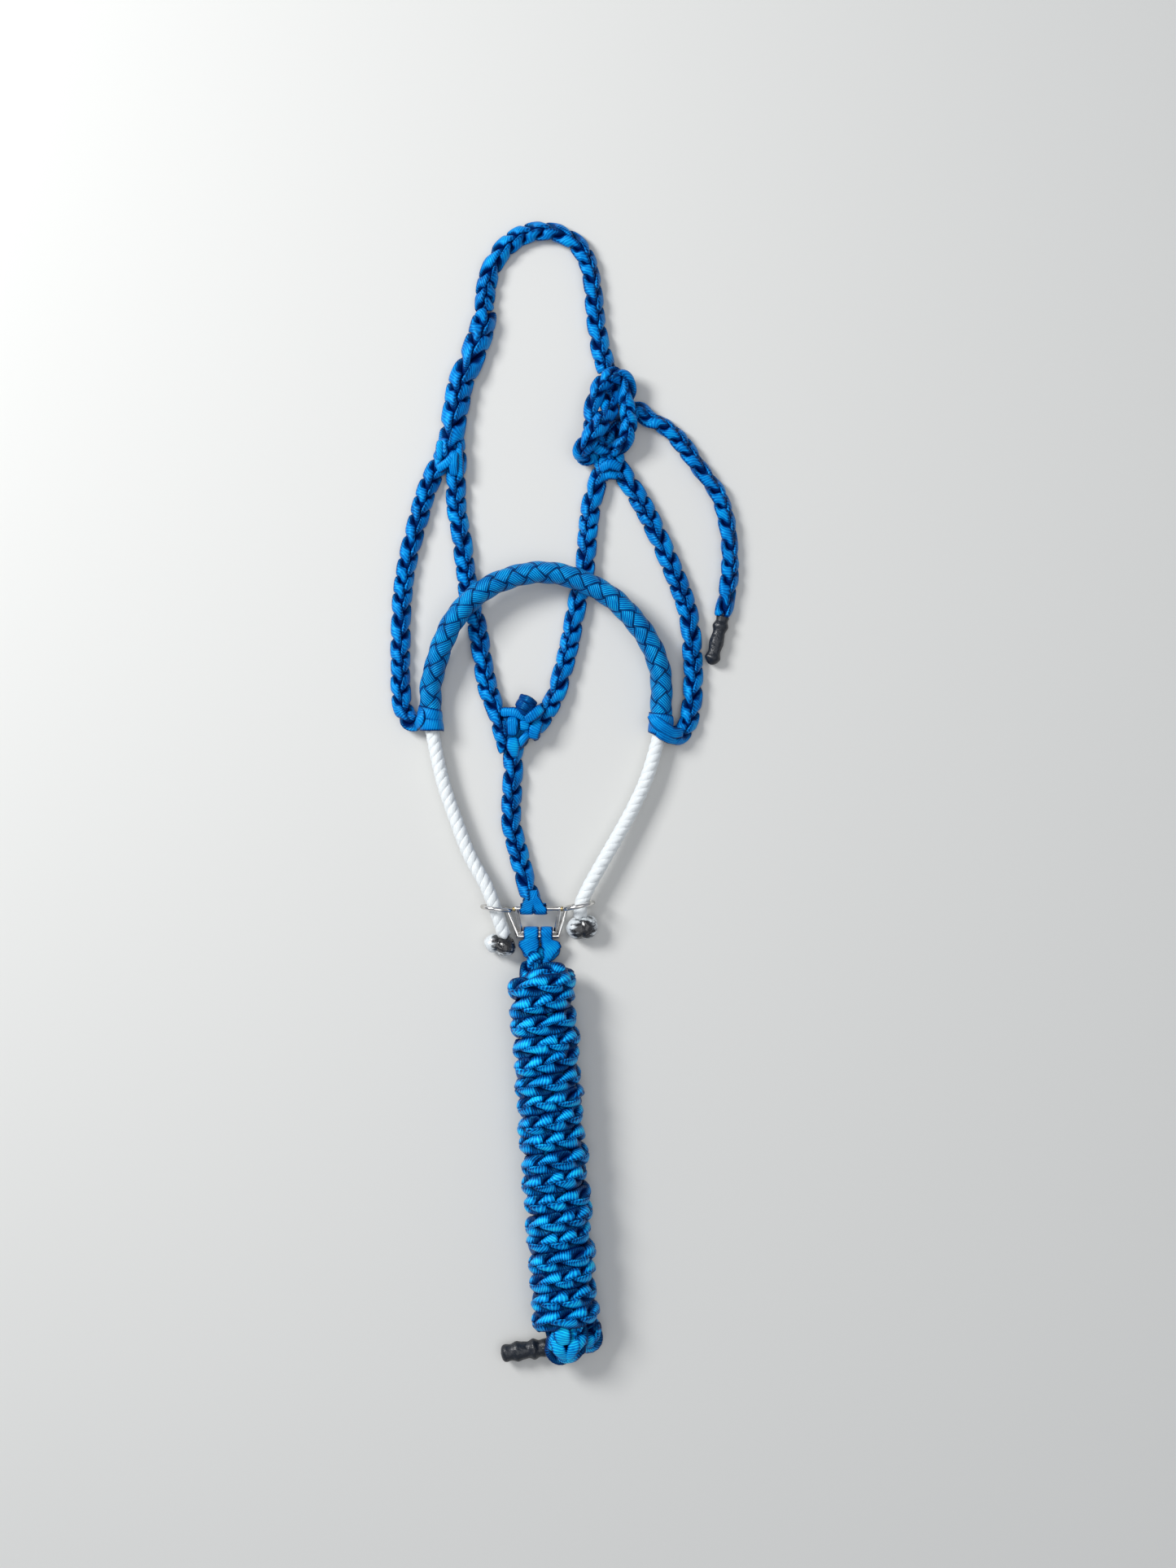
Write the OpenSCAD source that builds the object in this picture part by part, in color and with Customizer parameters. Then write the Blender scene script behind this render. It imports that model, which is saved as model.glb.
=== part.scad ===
// Rope halter with a laid-rope nose piece, two rope rings on a double wire dee,
// and its lead rope wrapped into a hank. It lies flat on a surface at z = 0.
// +Y runs from the lead to the poll, +X to the side the crown strap is tied on.
// The origin is on the surface, below the middle of the halter without its lead.

/* [Braids] */
// Width of a three-strand tape braid
braid_w = 14; // [12:0.5:15]
// Thickness of a three-strand tape braid
braid_t = 9; // [7.5:0.5:9]
// Width of the doubled splice where the crown strap splits
splice_w = 18; // [16:0.5:20]
// Thickness of the doubled splice
splice_t = 12; // [10:0.5:13]

/* [Nose piece] */
// Diameter of the white laid rope
rope_d = 10; // [9:0.5:10]
// Outer diameter of the braided cover over the nose
cover_d = 16; // [14:0.5:17]
// Outer diameter of the tape wraps at the cover's ends
wrap_d = 18; // [16:0.5:19]

/* [Hardware] */
// Diameter of the ring and dee wire
wire_d = 3; // [2.5:0.1:3]
// Outer diameter of each rope ring
ring_od = 24; // [24:0.5:25]
// Width of the inner dee along its top bar
dee_top_w = 31; // [30:0.5:31]
// Width of the inner dee along its bottom bar
dee_bottom_w = 24.5; // [24:0.5:26]
// Distance from the inner dee's top bar to its bottom bar
dee_l = 18.5; // [18:0.5:19]
// Slope of the inner dee down to the surface, in degrees
dee_slope = 22; // [21:0.5:22]
// Length of the stem's loop along the top bar
stem_loop_l = 19; // [14:1:19]

/* [Lead rope] */
// Diameter of the lead's black dipped tip
tip_d = 13; // [10:0.5:14]
// Width of the hank across its wraps
hank_w = 46; // [42:1:48]
// Height of the hank above the surface
hank_t = 34; // [32:1:36]
// Length of the wrapped part of the hank
hank_l = 262; // [240:2:264]

/* [Hidden] */

tape_blue = [0.02, 0.42, 0.80];
rope_white = [0.88, 0.91, 0.92];
burnt = [0.10, 0.11, 0.12];
dip_black = [0.03, 0.035, 0.045];
nickel = [0.80, 0.80, 0.78];
brass = [0.70, 0.58, 0.30];

// Heights of centrelines above the surface
lie = braid_t / 2;
wrap_z = wrap_d / 2;
over = braid_t + 0.4 + cover_d / 2;
rope_z = 11;

// The dee's top bar, which is the axis that the hardware swings on
bar_x = -6;
bar_y = -226.5;
bar_z = 12.5;

// The two bottom bars lie side by side, and the lead swings on the line between them
dee_y = bar_y - dee_l * cos(dee_slope);
dee_z = bar_z - dee_l * sin(dee_slope);
outer_y = dee_y - wire_d;
swing_y = (dee_y + outer_y) / 2;
swing_z = dee_z;
loop_r = swing_z;
loop_bore_r = wire_d + 0.2;

ring_r = (ring_od - wire_d) / 2;
left_ring_at = [-35, -226.5, ring_od / 2];
right_ring_at = [22.6, -224.6, ring_od / 2];
left_ring_turn = -7;
right_ring_turn = 12;

hank_turn = 4.2;
hank_start = [-4.5, -268.5];

// Routes, as x, y and the centreline's height
crown_route = [
    [-44, 197, lie], [-43.6, 210, lie], [-40, 226, lie], [-32, 240, lie], [-18, 251, lie],
    [-2, 254.3, lie], [11, 251.5, lie], [23, 243, lie], [30, 229, lie], [33, 211, lie],
    [35, 190, lie], [38, 172, lie], [41, 161, lie], [43, 154, lie]];
splice_route = [
    for (xy = [[-44, 197], [-44.6, 190], [-48, 178], [-54, 162], [-61, 146], [-64, 130],
               [-67, 112], [-69, 92]])
        [xy.x, xy.y, splice_t / 2]];
left_cheek_route = [
    [-75, 91, lie], [-80, 82, lie], [-86, 68, lie], [-93, 43, lie], [-98, 24, lie],
    [-102, 1, lie], [-103.6, -25, lie], [-104, -55, lie], [-103, -80, lie],
    [-98, -93, 6], [-91, -94, 8]];
left_throat_route = [
    [-64, 91, lie], [-64.5, 74, lie], [-64, 56, lie], [-61, 40, lie], [-58, 16, lie],
    [-55, -6, lie], [-50, -24, lie], [-46, -48, lie], [-42, -70, 4.8], [-36, -86, 6]];
right_cheek_route = [
    [51, 86, lie], [58, 76, lie], [69, 58, lie], [77, 42, lie], [86, 22, lie],
    [95, 0, lie], [101, -20, lie], [103.4, -45, lie], [104, -70, lie],
    [101, -93, lie], [95, -103, 6], [89, -104, 8]];
right_throat_route = [
    [40, 86, lie], [35, 72, lie], [31, 56, lie], [28.5, 32, lie], [27, 12, lie],
    [22, -8, lie], [17, -35, lie], [12, -56, lie], [6, -76, 5.5], [-2, -90, 8]];
right_splice_route = [[45.5, 86, 5.5], [44, 92, 5.5]];
tie_eye_route = [
    [45.5, 96, 9.5], [52, 100, 12], [57, 108, 13.5], [58, 119, 13.5], [56.5, 130, 12.5],
    [57.5, 141, 11.5], [54, 149, 12], [46.5, 150, 13.5], [39, 144, 13.5], [34, 134, 13.5],
    [32, 122, 13.5], [32.5, 110, 13.5], [37, 100, 12]];
crown_hitch_route = [
    [43, 154, lie], [45, 146, 4.8], [46.5, 137, 7], [44.5, 127, 12], [40, 118, 18],
    [34, 109, 21.5], [28, 101, 19], [25, 96, 12], [27.5, 93.5, 6.5], [32, 96, lie],
    [37, 100.5, lie], [43, 106, lie], [50, 115, lie], [58, 122, lie], [65, 127, 6]];
tail_route = [
    [65, 127, 6], [72, 121, 5], [81, 117, lie], [92, 108, lie], [100, 98, lie],
    [107, 88, lie], [115, 77, lie], [122, 67, lie], [126, 55, lie], [129, 41, lie],
    [130, 26, lie], [130, 11, lie], [128, -4, lie], [125, -20, lie]];
tail_tip_route = [[125, -20, lie], [122.5, -30, 5], [119.5, -42, 5.5], [116.5, -54, 5.5]];
stem_route = [
    [-22.5, -111, 6], [-24, -118, lie], [-24, -132, lie], [-25, -150, lie], [-25, -168, lie],
    [-21, -184, lie], [-17, -200, 5.5], [-13, -213, 9.5], [-11, -222, 12.5]];
nose_route = [
    [-82, -83, wrap_z], [-82, -70, wrap_z + 1], [-78, -54, 13], [-73, -39, 15],
    [-65, -23, over], [-54, -10, over], [-41, 0, over], [-26, 6.5, over],
    [-11, 10, over], [4, 10, over], [19, 6.5, over], [34, 0, over], [48, -9, over],
    [60, -21, over - 1], [70, -34, 15], [77, -48, 13], [81, -64, wrap_z + 1],
    [81, -88, wrap_z]];
left_leg = [
    [-30, -246, 8.5], [-33.5, -235, 10.5], [-37, -225, rope_z], [-43, -210, rope_z],
    [-55, -188, 10], [-65, -162, 9], [-74, -135, wrap_z], [-81, -102, wrap_z],
    [-82.5, -92, wrap_z]];
right_leg = [
    [81, -97, wrap_z], [79, -107, wrap_z], [71, -134, wrap_z], [61, -156, 9],
    [50, -176, 10], [39, -195, rope_z], [30, -211, rope_z], [24.6, -223, rope_z],
    [23.8, -232.5, 10]];
rope_route = concat(left_leg, nose_route, right_leg);

// A smooth curve through every point of p, with n steps between two points
function between(a, b, c, d, u) =
    (2 * b + (c - a) * u + (2 * a - 5 * b + 4 * c - d) * u * u
     + (3 * b - a - 3 * c + d) * u * u * u) / 2;
function smooth(p, n) = let (m = len(p) - 1) concat(
    [for (i = [0 : m - 1], k = [0 : n - 1])
        between(p[max(i - 1, 0)], p[i], p[i + 1], p[min(i + 2, m)], k / n)],
    [p[m]]);

// Unit vector, and the direction of a path at point i
function unit(v) = v / norm(v);
function heading(p, i) = unit(p[min(i + 1, len(p) - 1)] - p[max(i - 1, 0)]);

// One ring of a tube's skin: n points of an oval w wide and t thick, flat on top and below
function oval_ring(at, dir, w, t, n) = let (
    side = unit(cross(dir, [0, 0, 1])),
    up = cross(side, dir),
    k = 1 / cos(180 / n))
    [for (j = [0 : n - 1]) let (a = 360 * (j + 0.5) / n)
        at + side * (k * w / 2 * cos(a)) + up * (k * t / 2 * sin(a))];

// Two triangles for each step round and along a skin whose rings start at vertex s
function skin(rings, n, s) = [
    for (i = [0 : rings - 2], j = [0 : n - 1]) let (
        a = s + i * n + j,
        b = s + i * n + (j + 1) % n)
    each [[a, b, b + n], [a, b + n, a + n]]];
function reversed(faces) = [for (f = faces) [for (k = [len(f) - 1 : -1 : 0]) f[k]]];

// Solid tube of oval section along a path
module tube(path, w, t, n = 12) {
    rings = len(path);
    points = [for (i = [0 : rings - 1]) each oval_ring(path[i], heading(path, i), w, t, n)];
    first = [for (j = [n - 1 : -1 : 0]) j];
    last = [for (j = [0 : n - 1]) (rings - 1) * n + j];
    polyhedron(points, concat([first], skin(rings, n, 0), [last]));
}

// Hollow round tube along a path: outer diameter d, hole diameter hole
module sleeve(path, d, hole, n = 12) {
    rings = len(path);
    outer = [for (i = [0 : rings - 1]) each oval_ring(path[i], heading(path, i), d, d, n)];
    inner = [for (i = [0 : rings - 1]) each oval_ring(path[i], heading(path, i), hole, hole, n)];
    s = rings * n;
    ends = [for (j = [0 : n - 1]) let (a = j, b = (j + 1) % n, z = (rings - 1) * n)
        each [[b, a, s + a], [b, s + a, s + b],
              [z + a, z + b, s + z + b], [z + a, s + z + b, s + z + a]]];
    polyhedron(concat(outer, inner), concat(skin(rings, n, 0), reversed(skin(rings, n, s)), ends));
}

// Closed oval tube round a ring of points
module closed_tube(p, w, t, n = 12) {
    m = len(p);
    points = [for (i = [0 : m - 1])
        each oval_ring(p[i], unit(p[(i + 1) % m] - p[(i + m - 1) % m]), w, t, n)];
    polyhedron(points, [for (i = [0 : m - 1], j = [0 : n - 1]) let (
        a = i * n + j,
        b = i * n + (j + 1) % n,
        c = ((i + 1) % m) * n + (j + 1) % n,
        d = ((i + 1) % m) * n + j)
        each [[a, b, c], [a, c, d]]]);
}

// Straight wire from a to b
module wire(a, b) {
    v = b - a;
    translate(a)
        rotate([0, acos(v.z / norm(v)), atan2(v.y, v.x)])
            cylinder(d = wire_d, h = norm(v), $fn = 24);
}

// Rope ring standing upright, its hole along Y, turned about Z
module rope_ring(at, turn) {
    translate(at)
        rotate([90, 0, turn])
            rotate_extrude($fn = 48)
                translate([ring_r, 0])
                    circle(d = wire_d, $fn = 24);
}

// Small lump of braze
module braze(at) {
    translate(at)
        sphere(d = 3.4, $fn = 20);
}

module crown_strap() {
    color(tape_blue)
        tube(smooth(crown_route, 2), braid_w, braid_t);
}

module crown_splice() {
    color(tape_blue)
        tube(smooth(splice_route, 2), splice_w, splice_t);
}

module left_cheek_strap() {
    color(tape_blue)
        tube(smooth(left_cheek_route, 2), braid_w, braid_t);
}

module left_throat_strap() {
    color(tape_blue)
        tube(smooth(left_throat_route, 2), braid_w, braid_t);
}

module right_cheek_strap() {
    color(tape_blue)
        tube(smooth(right_cheek_route, 2), braid_w, braid_t);
}

module right_throat_strap() {
    color(tape_blue)
        tube(smooth(right_throat_route, 2), braid_w, braid_t);
}

module right_splice() {
    color(tape_blue)
        tube(right_splice_route, 22, 11);
}

module tie_eye() {
    color(tape_blue)
        closed_tube(tie_eye_route, 12, braid_t);
}

module crown_hitch() {
    color(tape_blue)
        tube(smooth(crown_hitch_route, 2), braid_w, braid_t);
}

module tie_tail() {
    color(tape_blue)
        tube(tail_route, braid_w, braid_t, 8);
}

module tie_tail_tip() {
    color(dip_black)
        tube(tail_tip_route, 10.5, 9, 8);
}

module throat_knot() {
    color(tape_blue)
        tube([[-19, -89, 9], [-19, -96, 9], [-21, -104, 8.5], [-22, -111, 8.5]], 29, 17);
}

module throat_knot_ball() {
    color(tape_blue)
        translate([-14.5, -83, 12])
            sphere(r = 7.5, $fn = 24);
}

module stem_strap() {
    color(tape_blue)
        tube(smooth(stem_route, 2), braid_w, braid_t);
}

module stem_loop() {
    color(tape_blue)
        translate([bar_x - 3, bar_y, bar_z])
            rotate([0, 90, 0])
                difference() {
                    cylinder(r = 4.5, h = stem_loop_l, center = true, $fn = 32);
                    cylinder(d = wire_d + 0.2, h = stem_loop_l + 2, center = true, $fn = 32);
                }
}

module nose_rope() {
    color(rope_white)
        tube(smooth(rope_route, 1), rope_d, rope_d);
}

module nose_cover() {
    color(tape_blue)
        sleeve(nose_route, cover_d, rope_d + 0.4);
}

module left_nose_wrap() {
    color(tape_blue)
        sleeve([left_leg[7], left_leg[8], nose_route[0]], wrap_d, rope_d + 0.4);
}

module right_nose_wrap() {
    color(tape_blue)
        sleeve([nose_route[len(nose_route) - 1], right_leg[0], right_leg[1]], wrap_d, rope_d + 0.4);
}

module left_rope_stop() {
    color(burnt)
        union() {
            translate([-37.5, -252, 6.8])
                rotate([0, 0, 180])
                    sphere(r = 6.8, $fn = 28);
            translate([-29.5, -253.5, 7.6])
                sphere(r = 7.6, $fn = 28);
        }
}

module right_rope_stop() {
    color(burnt)
        union() {
            translate([22, -240.5, 8.5])
                rotate([0, 0, 180])
                    sphere(r = 8.5, $fn = 28);
            translate([28.3, -240, 8.5])
                sphere(r = 8.5, $fn = 28);
        }
}

module left_ring() {
    color(nickel)
        rope_ring(left_ring_at, left_ring_turn);
}

module right_ring() {
    color(nickel)
        rope_ring(right_ring_at, right_ring_turn);
}

// Closed trapezoid of wire, its corners rounded by a ball a little thicker than the wire
module inner_dee() {
    top = [for (s = [-1, 1]) [bar_x + s * dee_top_w / 2, bar_y, bar_z]];
    low = [for (s = [-1, 1]) [bar_x + s * dee_bottom_w / 2, dee_y, dee_z]];
    color(nickel)
        union() {
            wire(top[0], top[1]);
            wire(low[0], low[1]);
            for (k = [0, 1]) {
                wire(top[k], low[k]);
                for (corner = [top[k], low[k]])
                    translate(corner)
                        sphere(d = wire_d + 0.2, $fn = 24);
            }
        }
}

// Open wire outside the inner dee, from the lower half of one ring to that of the other
module outer_dee() {
    end = [[-28, bar_y - 2, 5], [13.4, bar_y - 2, 7.5]];
    low = [for (s = [-1, 1]) [bar_x + s * (dee_bottom_w / 2 + 2), outer_y, dee_z]];
    color(nickel)
        union() {
            wire(low[0], low[1]);
            for (k = [0, 1]) {
                wire(end[k], low[k]);
                translate(low[k])
                    sphere(d = wire_d + 0.2, $fn = 24);
            }
        }
}

module left_braze() {
    color(brass)
        braze([-22.8, bar_y - 0.5, bar_z]);
}

module right_braze() {
    color(brass)
        braze([11, bar_y - 0.3, bar_z]);
}

// One bight of tape: a barrel over the bottom bars that fans out and runs in to the neck
module lead_loop(x0, x1, outline) {
    difference() {
        union() {
            translate([x0, swing_y, swing_z])
                rotate([0, 90, 0])
                    cylinder(r = loop_r, h = x1 - x0, $fn = 32);
            linear_extrude(2 * loop_r - 2)
                polygon(outline);
        }
        translate([x0 - 10, swing_y, swing_z])
            rotate([0, 90, 0])
                cylinder(r = loop_bore_r, h = x1 - x0 + 20, $fn = 32);
    }
}

module lead_loop_left() {
    color(tape_blue)
        lead_loop(-16, -4.9, [
            [-16, swing_y], [-4.9, swing_y], [-4.9, -262], [-11, -262], [-20, -256],
            [-20.5, -252.5], [-16, -249.5]]);
}

module lead_loop_right() {
    color(tape_blue)
        lead_loop(-4.1, 4.5, [
            [-4.1, swing_y], [4.5, swing_y], [4.5, -249.5], [10.5, -252.5], [10, -256],
            [2, -262], [-4.1, -262]]);
}

module lead_neck() {
    color(tape_blue)
        tube([[-4.5, -262, 6], [-4.5, -263, 6], [-4.5, -267.5, 8], [-4.5, -268.5, 8]], 14, 10);
}

// The hank lies along its own axis, turned a little from Y
module along_hank() {
    translate([hank_start.x, hank_start.y, 0])
        rotate([0, 0, hank_turn])
            children();
}

module lead_hank() {
    flat = hank_w - hank_t;
    color(tape_blue)
        along_hank()
            translate([0, 0, hank_t / 2])
                rotate([90, 0, 0])
                    linear_extrude(hank_l)
                        union() {
                            square([flat, hank_t], center = true);
                            for (s = [-1, 1])
                                translate([s * flat / 2, 0])
                                    circle(d = hank_t, $fn = 48);
                        }
}

module lead_bight() {
    color(tape_blue)
        along_hank()
            tube([[-3, -hank_l, 22], [-4, -hank_l - 9, 22], [-4, -hank_l - 18, 20]], 20, 14, 8);
}

module lead_end() {
    color(tape_blue)
        along_hank()
            tube([[15, -hank_l - 6, 7], [-9, -hank_l - 6, 7]], 12, 12, 8);
}

module lead_tip() {
    color(dip_black)
        along_hank()
            tube([[-9, -hank_l - 7, 7], [-28, -hank_l - 8, 7], [-46, -hank_l - 9.5, 7]], tip_d, tip_d, 8);
}

crown_strap();
crown_splice();
left_cheek_strap();
left_throat_strap();
right_cheek_strap();
right_throat_strap();
right_splice();
tie_eye();
crown_hitch();
tie_tail();
tie_tail_tip();
throat_knot();
throat_knot_ball();
stem_strap();
stem_loop();
nose_rope();
nose_cover();
left_nose_wrap();
right_nose_wrap();
left_rope_stop();
right_rope_stop();
left_ring();
right_ring();
inner_dee();
outer_dee();
left_braze();
right_braze();
lead_loop_left();
lead_loop_right();
lead_neck();
lead_hank();
lead_bight();
lead_end();
lead_tip();
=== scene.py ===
"""The looks of a rope halter and its lead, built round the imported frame.

Lengths are in metres. +Y runs from the lead to the poll, +X to the side the crown is tied on.
A braid is three tapes swept along curves that the plait's own formula gives.
"""

from math import atan, pi

import bpy
import numpy as np
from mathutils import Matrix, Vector


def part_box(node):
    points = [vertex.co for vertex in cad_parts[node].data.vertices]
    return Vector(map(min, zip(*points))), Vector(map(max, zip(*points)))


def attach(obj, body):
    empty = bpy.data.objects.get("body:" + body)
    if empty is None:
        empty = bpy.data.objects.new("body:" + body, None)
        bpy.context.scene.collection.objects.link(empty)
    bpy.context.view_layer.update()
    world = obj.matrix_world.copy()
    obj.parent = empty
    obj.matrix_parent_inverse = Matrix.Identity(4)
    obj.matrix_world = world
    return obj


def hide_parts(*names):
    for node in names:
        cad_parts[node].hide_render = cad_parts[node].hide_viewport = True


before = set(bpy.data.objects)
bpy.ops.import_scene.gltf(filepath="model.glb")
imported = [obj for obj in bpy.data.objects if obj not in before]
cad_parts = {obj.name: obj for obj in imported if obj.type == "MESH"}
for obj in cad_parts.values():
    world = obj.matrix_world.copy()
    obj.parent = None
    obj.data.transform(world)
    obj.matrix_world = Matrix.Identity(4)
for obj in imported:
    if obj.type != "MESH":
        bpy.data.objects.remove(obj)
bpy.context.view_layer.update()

# ---------------------------------------------------------------- sizes
BRAID_W = 0.014  # a strap as it lies
BRAID_T = 0.009
HEAP_T = 0.0100  # a strap's three tapes, which stand a little proud of its solid
SPLICE_W = 0.018
SPLICE_T = 0.0125
EYE_W = 0.012
HITCH_W = 0.0135
LEAD_W = 0.0146
LEAD_T = 0.0104
ROPE_D = 0.010
ROPE_LAY = 0.019  # along the rope for one turn of a strand
COVER_D = 0.016
WRAP_D = 0.018  # the collars at the cover's ends
HANK_W = 0.046
HANK_T = 0.034
HANK_L = 0.262
WRAPS = 18
TIP_D = 0.013  # the lead's dipped end
TAIL_TIP_D = 0.0098  # the crown tie's

FACET = 0.0142  # one strand's showing length along a braid
STEM_FACET = 0.0150
SPLICE_FACET = 0.0165
LEAD_FACET = 0.0160
COVER_FACET = 0.0150
COVER_TAPES = 3  # winding each way round the nose cover
COVER_RIBS = 7.5  # across one of its tapes
RIB = 0.00155  # distance between the ribs of any other tape
PLUMP = 0.235  # half a tape's thickness, as a share of its braid's

LIE = BRAID_T / 2  # the middle of a strap that lies on the ground
WRAP_Z = WRAP_D / 2
OVER = 0.0174  # the middle of the nose rope where it lies over the throat straps
ROPE_Z = 0.011  # and where it goes through the rings
FLOOR_GAP = 0.0002

HANK_TURN = np.radians(4.2)  # how far the hank lies turned from straight down
HANK_START = (-0.0045, -0.2685)  # the middle of its upper end
SWING_Y = -0.245153  # the lead's hinge, along the dee's bottom bars
SWING_Z = 0.00557
LEFT_BIGHT = (-0.0110, 0.0107, 0.45)  # x, width and the ribs' lean of each bight round those bars
RIGHT_BIGHT = (-0.0001, 0.0086, 2.35)

VIEW_AT = (0.0293, -0.1386)
VIEW_H = 1.1177  # what the frame's height covers on the floor
VIEW_UP = 1.4  # the camera's height

# ---------------------------------------------------------------- routes
CROWN_ROUTE = [
    (-0.044, 0.197, LIE), (-0.0436, 0.21, LIE), (-0.04, 0.226, LIE), (-0.032, 0.24, LIE),
    (-0.018, 0.251, LIE), (-0.002, 0.2543, LIE), (0.011, 0.2515, LIE), (0.023, 0.243, LIE),
    (0.03, 0.229, LIE), (0.033, 0.211, LIE), (0.035, 0.19, LIE), (0.038, 0.172, LIE),
    (0.041, 0.161, LIE), (0.043, 0.154, LIE)
]
LEFT_CHEEK_ROUTE = [
    (-0.075, 0.091, LIE), (-0.08, 0.082, LIE), (-0.086, 0.068, LIE), (-0.093, 0.043, LIE),
    (-0.098, 0.024, LIE), (-0.102, 0.001, LIE), (-0.1036, -0.025, LIE), (-0.104, -0.055, LIE),
    (-0.103, -0.08, LIE), (-0.098, -0.093, 0.006), (-0.091, -0.094, 0.008)
]
LEFT_THROAT_ROUTE = [
    (-0.064, 0.091, LIE), (-0.0645, 0.074, LIE), (-0.064, 0.056, LIE), (-0.061, 0.04, LIE),
    (-0.058, 0.016, LIE), (-0.055, -0.006, LIE), (-0.05, -0.024, LIE), (-0.046, -0.048, LIE),
    (-0.042, -0.07, 0.0048), (-0.036, -0.086, 0.006)
]
RIGHT_CHEEK_ROUTE = [
    (0.051, 0.086, LIE), (0.058, 0.076, LIE), (0.069, 0.058, LIE), (0.077, 0.042, LIE),
    (0.086, 0.022, LIE), (0.095, 0.0, LIE), (0.101, -0.02, LIE), (0.1034, -0.045, LIE),
    (0.104, -0.07, LIE), (0.101, -0.093, LIE), (0.095, -0.103, 0.006), (0.089, -0.104, 0.008)
]
RIGHT_THROAT_ROUTE = [
    (0.04, 0.086, LIE), (0.035, 0.072, LIE), (0.031, 0.056, LIE), (0.0285, 0.032, LIE),
    (0.027, 0.012, LIE), (0.022, -0.008, LIE), (0.017, -0.035, LIE), (0.012, -0.056, LIE),
    (0.006, -0.076, 0.0055), (-0.002, -0.09, 0.008)
]
CROWN_HITCH_ROUTE = [
    (0.043, 0.154, LIE), (0.045, 0.146, 0.0048), (0.0465, 0.137, 0.007), (0.0445, 0.127, 0.012),
    (0.040, 0.118, 0.018), (0.034, 0.109, 0.0215), (0.028, 0.101, 0.019), (0.025, 0.096, 0.012),
    (0.0275, 0.0935, 0.0065), (0.032, 0.096, LIE), (0.037, 0.1005, LIE), (0.043, 0.106, LIE),
    (0.050, 0.115, LIE), (0.058, 0.122, LIE), (0.065, 0.127, 0.006)
]
TAIL_ROUTE = [
    (0.065, 0.127, 0.006), (0.072, 0.121, 0.005), (0.081, 0.117, LIE), (0.092, 0.108, LIE),
    (0.1, 0.098, LIE), (0.107, 0.088, LIE), (0.115, 0.077, LIE), (0.122, 0.067, LIE),
    (0.126, 0.055, LIE), (0.129, 0.041, LIE), (0.13, 0.026, LIE), (0.13, 0.011, LIE),
    (0.128, -0.004, LIE), (0.125, -0.02, LIE)
]
TAIL_TIP_ROUTE = [
    (0.125, -0.02, LIE), (0.1225, -0.03, 0.005), (0.1195, -0.042, 0.0055),
    (0.1165, -0.054, 0.0055)
]
STEM_ROUTE = [
    (-0.0225, -0.111, 0.006), (-0.024, -0.118, LIE), (-0.024, -0.132, LIE), (-0.025, -0.15, LIE),
    (-0.025, -0.168, LIE), (-0.021, -0.184, LIE), (-0.017, -0.2, 0.0055), (-0.013, -0.213, 0.0095),
    (-0.011, -0.222, 0.0125)
]
NOSE_ROUTE = [
    (-0.082, -0.083, WRAP_Z), (-0.082, -0.07, WRAP_Z + 0.001), (-0.078, -0.054, 0.013),
    (-0.073, -0.039, 0.015), (-0.065, -0.023, OVER), (-0.054, -0.01, OVER), (-0.041, 0.0, OVER),
    (-0.026, 0.0065, OVER), (-0.011, 0.01, OVER), (0.004, 0.01, OVER), (0.019, 0.0065, OVER),
    (0.034, 0.0, OVER), (0.048, -0.009, OVER), (0.06, -0.021, OVER - 0.001), (0.07, -0.034, 0.015),
    (0.077, -0.048, 0.013), (0.081, -0.064, WRAP_Z + 0.001), (0.081, -0.088, WRAP_Z)
]
LEFT_LEG = [
    (-0.03, -0.246, 0.0085), (-0.0335, -0.235, 0.0105), (-0.037, -0.225, ROPE_Z),
    (-0.043, -0.21, ROPE_Z), (-0.055, -0.188, 0.01), (-0.065, -0.162, 0.009),
    (-0.074, -0.135, WRAP_Z), (-0.081, -0.102, WRAP_Z), (-0.0825, -0.092, WRAP_Z)
]
RIGHT_LEG = [
    (0.081, -0.097, WRAP_Z), (0.079, -0.107, WRAP_Z), (0.071, -0.134, WRAP_Z),
    (0.061, -0.156, 0.009), (0.05, -0.176, 0.01), (0.039, -0.195, ROPE_Z), (0.03, -0.211, ROPE_Z),
    (0.0246, -0.223, ROPE_Z), (0.0238, -0.2325, 0.01)
]
SPLICE_ROUTE = [
    (-0.044, 0.197, 0.006), (-0.0446, 0.19, 0.006), (-0.048, 0.178, 0.006), (-0.054, 0.162, 0.006),
    (-0.061, 0.146, 0.006), (-0.064, 0.13, 0.006), (-0.067, 0.112, 0.006), (-0.069, 0.092, 0.006)
]
TIE_EYE_ROUTE = [
    (0.0455, 0.096, 0.0095), (0.052, 0.100, 0.012), (0.057, 0.108, 0.0135), (0.058, 0.119, 0.0135),
    (0.0565, 0.130, 0.0125), (0.0575, 0.141, 0.0115), (0.054, 0.149, 0.012), (0.0465, 0.150, 0.0135),
    (0.039, 0.144, 0.0135), (0.034, 0.134, 0.0135), (0.032, 0.122, 0.0135), (0.0325, 0.110, 0.0135),
    (0.037, 0.100, 0.012), (0.0455, 0.096, 0.0095)
]

# ---------------------------------------------------------------- curves
def unit(v):
    """The vectors in the last axis, each of length 1."""
    return v / np.maximum(np.linalg.norm(v, axis=-1, keepdims=True), 1e-12)


def smooth(points, per=10):
    """A Catmull-Rom curve through the points, with `per` steps between two of them."""
    p = np.array(points, float)
    p = np.vstack([p[:1], p, p[-1:]])
    u = (np.arange(per) / per)[:, None]
    spans = []
    for a, b, c, d in zip(p[:-3], p[1:-2], p[2:-1], p[3:]):
        bend = 2 * a - 5 * b + 4 * c - d
        spans.append((2 * b + (c - a) * u + bend * u**2 + (3 * b - a - 3 * c + d) * u**3) / 2)
    return np.vstack(spans + [p[-1:]])


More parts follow.
